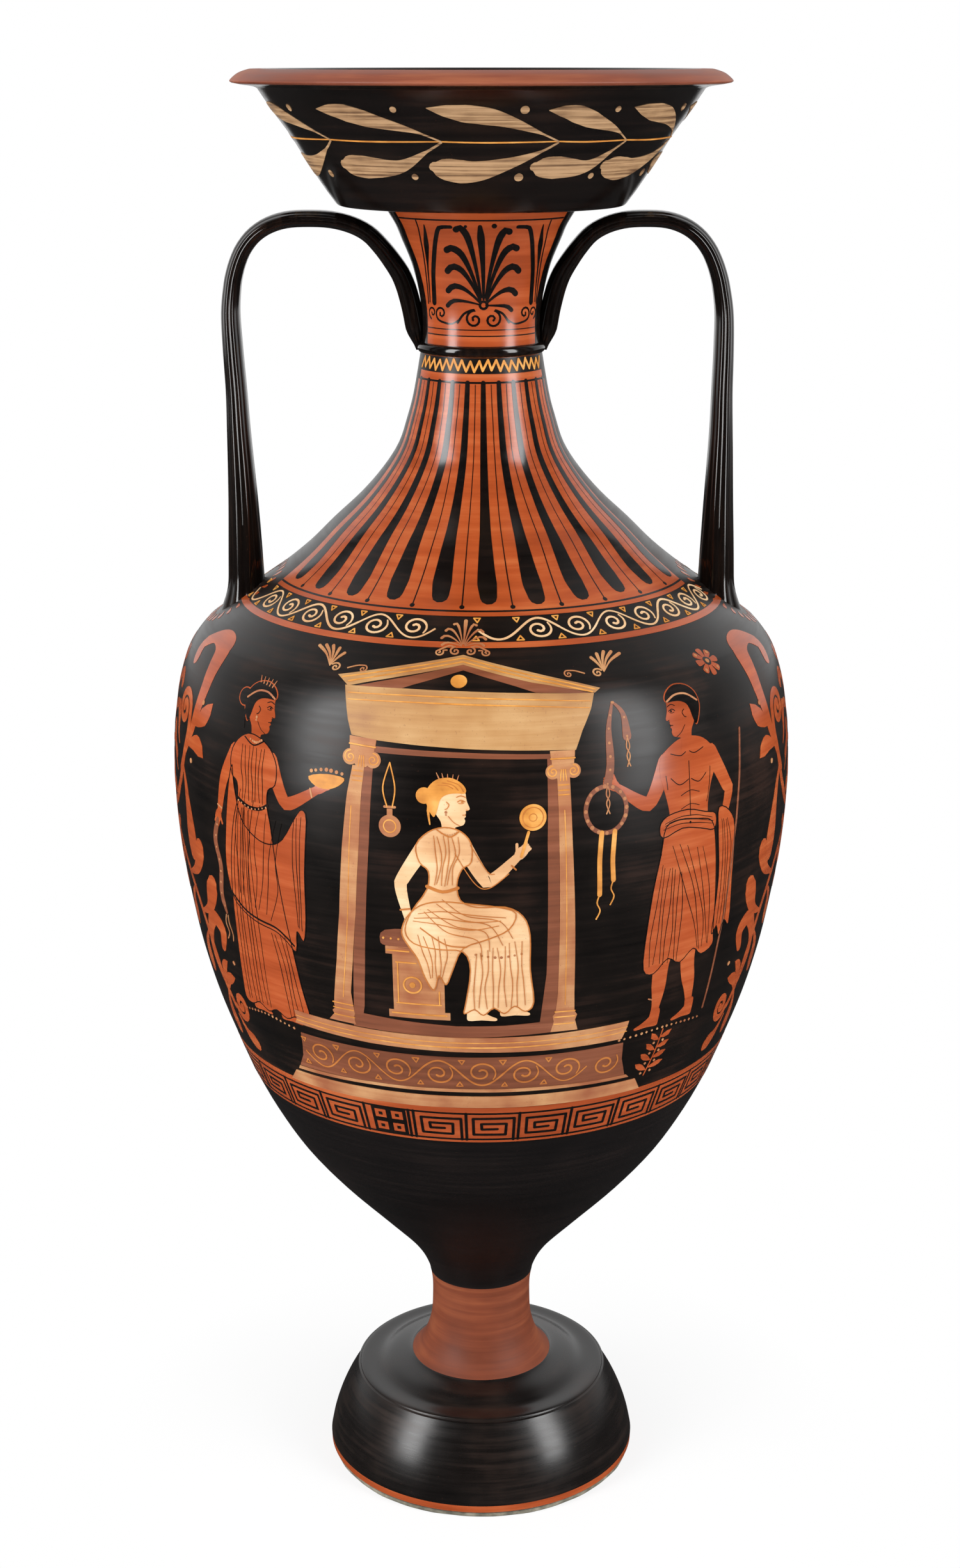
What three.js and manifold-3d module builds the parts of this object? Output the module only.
// A tall red-figure neck-amphora with a disc foot, a hollow stem, a trumpet mouth and two reeded strap handles.
// It is built the way the potter built it: sections thrown on the wheel one by one and luted together with slip.
// Millimetres, +Z up. The origin is on the axis, on the surface that the vessel stands on. The front faces -Y.
import * as THREE from 'three';
import { mergeVertices } from 'three/addons/utils/BufferGeometryUtils.js';
import Module from 'manifold-3d';

const wasm = await Module();
wasm.setup();

// How finely round forms are divided
const turnSegments = 32;
const wallSteps = 8;
const edgeSteps = 6;
const shoulderSteps = 14;
const reedCount = 8;
const pointsPerReed = 3;
const handleSteps = 28;

// Clearances
const slipFilm = 0.3; // the film of slip in a luted joint

// Levelling ring under the foot
const ringPadRadius = 101;
const ringPadThickness = 3.6;
const ringPadWidth = 14;

// Disc foot
const footRadius = 102.4;
const footEdgeHeight = 56; // from the bottom of the foot to the ridge
const footRidgeRadius = 81.3;
const footTopRise = 8.5; // from the ridge to the root of the stem
const footWall = 11;

// Stem
const stemRootRadius = 47;
const stemRadius = 32.9;
const stemTopRadius = 34.4;
const stemHeight = 60;
const stemWall = 8;

// Body, in three thrown sections
const bellyRadius = 192.4;
const bowlHeight = 158; // lower section, up to the foot of the figured zone
const bellyWaistHeight = 194; // from the lower joint to the widest turn
const bellyCrownHeight = 92; // from the widest turn to the shoulder joint
const bowlTopRadius = 149.2;
const shoulderRadius = 170.4;
const shoulderHeight = 167.5;
const bodyWall = 7.5;
const bowlFloor = 12;

// Neck
const neckRadius = 36.1;
const neckFootRadius = 36.5;
const neckTopRadius = 58;
const neckHeight = 82.1;
const neckWall = 7;
const filletProud = 2.4; // how far the moulded fillet stands out
const filletHeight = 6;
const filletBury = 4; // how far its blank runs under the skin before it is cut
const filletPoints = 6;

// Mouth
const mouthFootRadius = 87;
const mouthThroatRadius = 131;
const mouthBowlHeight = 64.5; // from the corner at the bottom to the underside of the lip
const mouthCornerHeight = 2.4;
const mouthWall = 7.5;
const mouthFloor = 8;
const lipRadius = 146.3;
const lipLandRadius = 135;
const lipLandWidth = 8.5;
const lipUnderHeight = 3.4; // from the throat out to the under edge of the lip
const lipEdgeHeight = 1.4;
const lipBevelHeight = 6.3;

// Handles
const handleReach = 149.2; // axis of the vessel to the middle of the upright
const handleRise = 234; // middle of the root to the middle of the crown
const handleHeadroom = 2.4; // between the crown and the underside of the mouth
const handleTipReach = 39.5;
const handleRootThickness = 24;
const handleThickness = 12.6;
const handleCrownThickness = 10.2;
const handleTipThickness = 12.4;
const handleEndShare = 0.5; // the very end, smoothed down onto the neck, as a share of the section above it
const handleRootWidth = 31;
const handleWidth = 25;
const handleTipWidth = 17;
const reedDepthShare = 0.075; // depth of the grooves between the reeds, as a share of the section
const rootFlare = 7; // how much the root spreads over the shoulder on each side
const rootFlareHeight = 34;
const rightHandleLean = 8; // the right handle leans in towards the neck by this much at its crown
const rootBury = 14; // how far the root's section runs below the skin before it is cut to it

// Outlines, bottom to top, as shares of height and of the step between the end radii
const footEdgeShares = [
  [0, 0], [0.05, -0.02], [0.16, 0.03], [0.3, 0.11], [0.48, 0.26], [0.66, 0.46], [0.83, 0.7], [1, 1],
];
const stemShares = [[0, 0], [0.1, 0.42], [0.25, 0.74], [0.45, 0.95], [0.68, 1], [0.86, 0.99], [1, 0.9]];
const bowlShares = [
  [0, 0], [0.03, 0.01], [0.085, 0.044], [0.14, 0.093], [0.2, 0.162], [0.32, 0.32], [0.5, 0.555],
  [0.675, 0.75], [0.85, 0.897], [1, 1],
];
const bellyLowShares = [
  [0, 0], [0.2, 0.35], [0.335, 0.55], [0.47, 0.705], [0.605, 0.82], [0.735, 0.915], [0.87, 0.975], [1, 1],
];
const bellyHighShares = [
  [0, 0], [0.27, 0.035], [0.45, 0.12], [0.63, 0.24], [0.81, 0.465], [0.92, 0.72], [1, 1],
];
const shoulderShares = [
  [0, 0], [0.087, 0.148], [0.183, 0.32], [0.278, 0.468], [0.375, 0.592], [0.47, 0.72], [0.565, 0.823],
  [0.655, 0.895], [0.75, 0.935], [0.84, 0.965], [1, 1],
];
const neckShares = [
  [0, 0.01], [0.13, -0.004], [0.257, 0.005], [0.415, 0.09], [0.6, 0.275], [0.78, 0.555], [0.872, 0.7],
  [0.96, 0.9], [1, 1],
];
const mouthShares = [[0, 0], [0.143, 0.148], [0.366, 0.368], [0.595, 0.578], [0.82, 0.823], [1, 1]];

// Middle line of the handles: [share of the way out from tip to upright, share of the rise from root to crown]
const handlePathShares = [
  [0.955, -0.1], [0.958, 0], [0.962, 0.16], [0.966, 0.27], [0.973, 0.37], [0.981, 0.47], [0.988, 0.57],
  [1, 0.67], [1.007, 0.765], [0.994, 0.832], [0.98, 0.865], [0.959, 0.896], [0.926, 0.928], [0.869, 0.96],
  [0.79, 0.984],
  [0.69, 0.998], [0.57, 1.001], [0.45, 0.998], [0.34, 0.985], [0.25, 0.963], [0.18, 0.93], [0.127, 0.898],
  [0.082, 0.866], [0.053, 0.835], [0.033, 0.8035], [0.016, 0.77], [0.003, 0.737], [-0.013, 0.704],
  [-0.03, 0.675],
];

// Heights of the joints, each on top of the one below
const footBase = ringPadThickness + slipFilm;
const footRidge = footBase + footEdgeHeight;
const stemRoot = footRidge + footTopRise;
const stemTop = stemRoot + stemHeight;
const bowlTop = stemTop + bowlHeight;
const bellyTurn = bowlTop + bellyWaistHeight;
const shoulderJoint = bellyTurn + bellyCrownHeight;
const neckJoint = shoulderJoint + shoulderHeight;
const mouthJoint = neckJoint + neckHeight;
const mouthCorner = mouthJoint + mouthCornerHeight;
const lipUnder = mouthCorner + mouthBowlHeight;
const lipEdge = lipUnder + lipUnderHeight;
const lipTop = lipEdge + lipEdgeHeight + lipBevelHeight;

// Colours read from the glazed and the bare clay
const clayFinish = { color: 0xa65233, roughness: 0.6, metalness: 0 };
const glossFinish = { color: 0x15110f, roughness: 0.22, metalness: 0 };
const padFinish = { color: 0x7d7a6c, roughness: 0.95, metalness: 0 };

// A smooth outline between two ends, from its shares of height and of radius
function outline(lowRadius, lowHeight, highRadius, highHeight, shares, steps = wallSteps) {
  const through = shares.map(([up, out]) => new THREE.Vector2(
    THREE.MathUtils.lerp(lowRadius, highRadius, out),
    THREE.MathUtils.lerp(lowHeight, highHeight, up),
  ));
  return new THREE.SplineCurve(through).getPoints(steps);
}

// The inner face of a wall: the outline moved inwards by the wall's thickness, square to itself
function innerFace(points, wall) {
  return points.map((point, i) => {
    const before = points[Math.max(i - 1, 0)];
    const after = points[Math.min(i + 1, points.length - 1)];
    const along = after.clone().sub(before).normalize();
    return new THREE.Vector2(point.x - along.y * wall, point.y + along.x * wall);
  });
}

// Brings the ends of an inner face to the flat planes of the joints
function trimToJoints(points, low, high) {
  const kept = points.filter((point) => point.y > low && point.y < high);
  const radiusAt = (level) => {
    for (let i = 1; i < points.length; i += 1) {
      const [a, b] = [points[i - 1], points[i]];
      if ((a.y - level) * (b.y - level) <= 0 && a.y !== b.y) {
        return THREE.MathUtils.lerp(a.x, b.x, (level - a.y) / (b.y - a.y));
      }
    }
    return level > points[0].y ? points[points.length - 1].x : points[0].x;
  };
  return [new THREE.Vector2(radiusAt(low), low), ...kept, new THREE.Vector2(radiusAt(high), high)];
}

// Turns a closed outline about the vertical axis
function turned(points, segments = turnSegments) {
  const lathe = new THREE.LatheGeometry(points, segments);
  lathe.deleteAttribute('normal');
  lathe.deleteAttribute('uv');
  return mergeVertices(lathe.rotateX(Math.PI / 2));
}

// A thrown section: its outer face up, its inner face down
function thrownSection(outer, inner) {
  return turned([...outer, ...[...inner].reverse(), outer[0].clone()]);
}

function toSolid(geometry) {
  return new wasm.Manifold(new wasm.Mesh({
    numProp: 3,
    vertProperties: new Float32Array(geometry.getAttribute('position').array),
    triVerts: new Uint32Array(geometry.index.array),
  }));
}

function toGeometry(solid) {
  const { vertProperties, triVerts } = solid.getMesh();
  const geometry = new THREE.BufferGeometry();
  geometry.setAttribute('position', new THREE.BufferAttribute(vertProperties, 3));
  geometry.setIndex(new THREE.BufferAttribute(triVerts, 1));
  return geometry;
}

function piece(name, geometry, finish) {
  const mesh = new THREE.Mesh(geometry, new THREE.MeshStandardMaterial(finish));
  mesh.name = name;
  return mesh;
}

// Outer outlines of the sections
const halfFilm = slipFilm / 2; // each face of a luted joint stands back by this much
const footEdge = outline(footRadius, footBase, footRidgeRadius, footRidge, footEdgeShares);
const stemOuter = outline(stemRootRadius, stemRoot, stemRadius, stemTop - halfFilm, stemShares, edgeSteps);
const bowlOuter = outline(stemTopRadius, stemTop + halfFilm, bowlTopRadius, bowlTop - halfFilm, bowlShares);
const bellyLow = outline(bowlTopRadius, bowlTop + halfFilm, bellyRadius, bellyTurn, bellyLowShares, edgeSteps);
const bellyHigh = outline(
  bellyRadius, bellyTurn, shoulderRadius, shoulderJoint - halfFilm, bellyHighShares, edgeSteps,
);
const bellyOuter = [...bellyLow, ...bellyHigh.slice(1)];
const shoulderOuter = outline(
  shoulderRadius, shoulderJoint + halfFilm, neckFootRadius, neckJoint - halfFilm, shoulderShares, shoulderSteps,
);
const neckOuter = outline(neckRadius, neckJoint + halfFilm, neckTopRadius, mouthJoint - halfFilm, neckShares);
const mouthSide = outline(mouthFootRadius, mouthCorner, mouthThroatRadius, lipUnder, mouthShares, edgeSteps);

function buildRingPad() {
  const inside = ringPadRadius - ringPadWidth;
  return turned([
    new THREE.Vector2(inside, 0),
    new THREE.Vector2(ringPadRadius, 0),
    new THREE.Vector2(ringPadRadius, ringPadThickness),
    new THREE.Vector2(inside, ringPadThickness),
    new THREE.Vector2(inside, 0),
  ]);
}

// The foot is thrown upside down as a deep dish, so it is hollow below and open into the stem
function buildFoot() {
  const topEdge = new THREE.Vector2(stemRootRadius, stemRoot - slipFilm);
  const bore = stemRootRadius - stemWall;
  const inside = trimToJoints(innerFace(footEdge, footWall), footBase, footRidge - footWall);
  return thrownSection(
    [...footEdge, topEdge],
    [...inside, new THREE.Vector2(bore, stemRoot - footWall), new THREE.Vector2(bore, stemRoot - slipFilm)],
  );
}

function buildStem() {
  const inner = trimToJoints(innerFace(stemOuter, stemWall), stemRoot, stemTop - halfFilm);
  inner[0].x = stemRootRadius - stemWall;
  return thrownSection(stemOuter, inner);
}

// The bowl is closed below, where it sits on the stem
function buildBowl() {
  const bottom = stemTop + halfFilm;
  const inner = trimToJoints(innerFace(bowlOuter, bodyWall), bottom + bowlFloor, bowlTop - halfFilm);
  return turned([
    new THREE.Vector2(0, bottom),
    ...bowlOuter,
    ...inner.reverse(),
    new THREE.Vector2(0, bottom + bowlFloor),
  ]);
}

function buildBelly() {
  const inner = trimToJoints(innerFace(bellyOuter, bodyWall), bowlTop + halfFilm, shoulderJoint - halfFilm);
  return thrownSection(bellyOuter, inner);
}

function buildShoulder() {
  const inner = trimToJoints(innerFace(shoulderOuter, bodyWall), shoulderJoint + halfFilm, neckJoint - halfFilm);
  return thrownSection(shoulderOuter, inner);
}

// The fillet is a half-round ring of clay wrapped over the joint between shoulder and neck, and cut to fit both
function buildFillet() {
  const buried = neckFootRadius - filletBury;
  const curve = Array.from({ length: filletPoints + 1 }, (_, i) => {
    const turn = (i / filletPoints - 1 / 2) * Math.PI;
    return new THREE.Vector2(
      neckFootRadius + filletProud * Math.cos(turn),
      neckJoint + (filletHeight / 2) * Math.sin(turn),
    );
  });
  const low = curve[0].clone().setX(buried);
  const high = curve[filletPoints].clone().setX(buried);
  const blank = toSolid(turned([low, ...curve, high, low.clone()]));
  return toGeometry(blank.subtract(wallCutter));
}

function buildNeck() {
  const inner = trimToJoints(innerFace(neckOuter, neckWall), neckJoint + halfFilm, mouthJoint - halfFilm);
  return thrownSection(neckOuter, inner);
}

// The mouth: a flaring bowl with a flat floor over the neck, and an overhanging lip
function buildMouth() {
  const floorBottom = mouthJoint + halfFilm;
  const throat = neckTopRadius - neckWall;
  const inside = trimToJoints(innerFace(mouthSide, mouthWall), mouthJoint + mouthFloor, lipUnder);
  return thrownSection(
    [
      new THREE.Vector2(throat, floorBottom),
      new THREE.Vector2(neckTopRadius, floorBottom),
      ...mouthSide,
      new THREE.Vector2(lipRadius - lipEdgeHeight, lipEdge),
      new THREE.Vector2(lipRadius, lipEdge + lipEdgeHeight),
      new THREE.Vector2(lipLandRadius, lipTop),
    ],
    [
      new THREE.Vector2(throat, mouthJoint + mouthFloor),
      ...inside,
      new THREE.Vector2(lipLandRadius - lipLandWidth, lipTop),
    ],
  );
}

// Middle line of a handle in the plane of the handles, from the root up, over the crown and down along the neck
function handlePath(lean) {
  const crown = mouthJoint - handleHeadroom - handleCrownThickness / 2;
  return new THREE.CatmullRomCurve3(handlePathShares.map(([out, up]) => new THREE.Vector3(
    THREE.MathUtils.lerp(handleTipReach, handleReach - lean * up * up, out),
    0,
    crown - (1 - up) * handleRise,
  )), false, 'centripetal');
}

// The section is an oval with a reed at each lobe: heavy at the root, slim over the crown, and pressed onto the
// neck at the other end
function handleSection(share) {
  const toUpright = THREE.MathUtils.smoothstep(share, 0, 0.45);
  const toCrown = THREE.MathUtils.smoothstep(share, 0.42, 0.62);
  const toTip = THREE.MathUtils.smoothstep(share, 0.78, 0.92);
  const shrink = 1 - (1 - handleEndShare) * THREE.MathUtils.smoothstep(share, 0.965, 1);
  const shaft = THREE.MathUtils.lerp(handleRootThickness, handleThickness, toUpright);
  const crown = THREE.MathUtils.lerp(shaft, handleCrownThickness, toCrown);
  const width = THREE.MathUtils.lerp(
    THREE.MathUtils.lerp(handleRootWidth, handleWidth, toUpright), handleTipWidth, toTip,
  );
  return { thickness: THREE.MathUtils.lerp(crown, handleTipThickness, toTip) * shrink, width: width * shrink };
}

function buildHandleBlank(lean) {
  const path = handlePath(lean);
  const length = path.getLength();
  const ringPoints = reedCount * pointsPerReed;
  const positions = [];
  const faces = [];
  const sideways = new THREE.Vector3(0, 1, 0);
  for (let i = 0; i <= handleSteps; i += 1) {
    const share = i / handleSteps;
    const centre = path.getPointAt(share);
    const along = path.getTangentAt(share);
    const outwards = new THREE.Vector3().crossVectors(sideways, along).normalize();
    const { thickness, width } = handleSection(share);
    const upRoot = THREE.MathUtils.smoothstep(share * length, rootBury, rootBury + rootFlareHeight);
    const flare = rootFlare * (1 - upRoot) ** 2;
    for (let k = 0; k < ringPoints; k += 1) {
      const turn = (k / ringPoints) * 2 * Math.PI;
      const reed = 1 - reedDepthShare * (1 + Math.cos(reedCount * turn)) / 2;
      const point = centre.clone()
        .addScaledVector(outwards, (thickness / 2 + flare) * reed * Math.cos(turn))
        .addScaledVector(sideways, (width / 2 + flare) * reed * Math.sin(turn));
      positions.push(point.x, point.y, point.z);
    }
  }
  for (let i = 0; i < handleSteps; i += 1) {
    for (let k = 0; k < ringPoints; k += 1) {
      const next = (k + 1) % ringPoints;
      const [a, b] = [i * ringPoints + k, i * ringPoints + next];
      const [c, d] = [a + ringPoints, b + ringPoints];
      faces.push(a, b, c, b, d, c);
    }
  }
  const last = handleSteps * ringPoints;
  for (let k = 1; k < ringPoints - 1; k += 1) {
    faces.push(0, k + 1, k);
    faces.push(last, last + k, last + k + 1);
  }
  const blank = new THREE.BufferGeometry();
  blank.setAttribute('position', new THREE.BufferAttribute(new Float32Array(positions), 3));
  blank.setIndex(faces);
  return toSolid(blank);
}

// Belly, shoulder and neck as one plain body, grown by the slip film
function buildWallCutter() {
  const grown = [...bellyHigh.slice(1), ...shoulderOuter, ...neckOuter].map((point, i, all) => {
    const before = all[Math.max(i - 1, 0)];
    const after = all[Math.min(i + 1, all.length - 1)];
    const along = after.clone().sub(before).normalize();
    return new THREE.Vector2(point.x + along.y * slipFilm, point.y - along.x * slipFilm);
  });
  return toSolid(turned([
    new THREE.Vector2(0, grown[0].y),
    ...grown,
    new THREE.Vector2(0, grown[grown.length - 1].y),
  ]));
}

// The same for the fillet, so the handles clear it
function buildFilletCutter() {
  const ringRadius = neckFootRadius + filletProud + slipFilm;
  const ringHalf = filletHeight / 2 + slipFilm;
  return toSolid(turned([
    new THREE.Vector2(0, neckJoint - ringHalf),
    new THREE.Vector2(ringRadius, neckJoint - ringHalf),
    new THREE.Vector2(ringRadius, neckJoint + ringHalf),
    new THREE.Vector2(0, neckJoint + ringHalf),
  ]));
}

const wallCutter = buildWallCutter();
const seatCutter = wallCutter.add(buildFilletCutter());
const amphora = new THREE.Group();
amphora.add(
  piece('levelling_ring', buildRingPad(), padFinish),
  piece('disc_foot', buildFoot(), glossFinish),
  piece('stem', buildStem(), clayFinish),
  piece('body_bowl', buildBowl(), glossFinish),
  piece('body_belly', buildBelly(), glossFinish),
  piece('body_shoulder', buildShoulder(), clayFinish),
  piece('neck_fillet', buildFillet(), glossFinish),
  piece('neck', buildNeck(), clayFinish),
  piece('mouth', buildMouth(), glossFinish),
);

// The handles are pulled by hand, so one leans in a little, and luted on opposite sides
for (const [side, turn, lean] of [['right', 0, rightHandleLean], ['left', 180, 0]]) {
  const fitted = buildHandleBlank(lean).rotate([0, 0, turn]).subtract(seatCutter);
  amphora.add(piece(`handle_${side}`, toGeometry(fitted), glossFinish));
}

export default amphora;
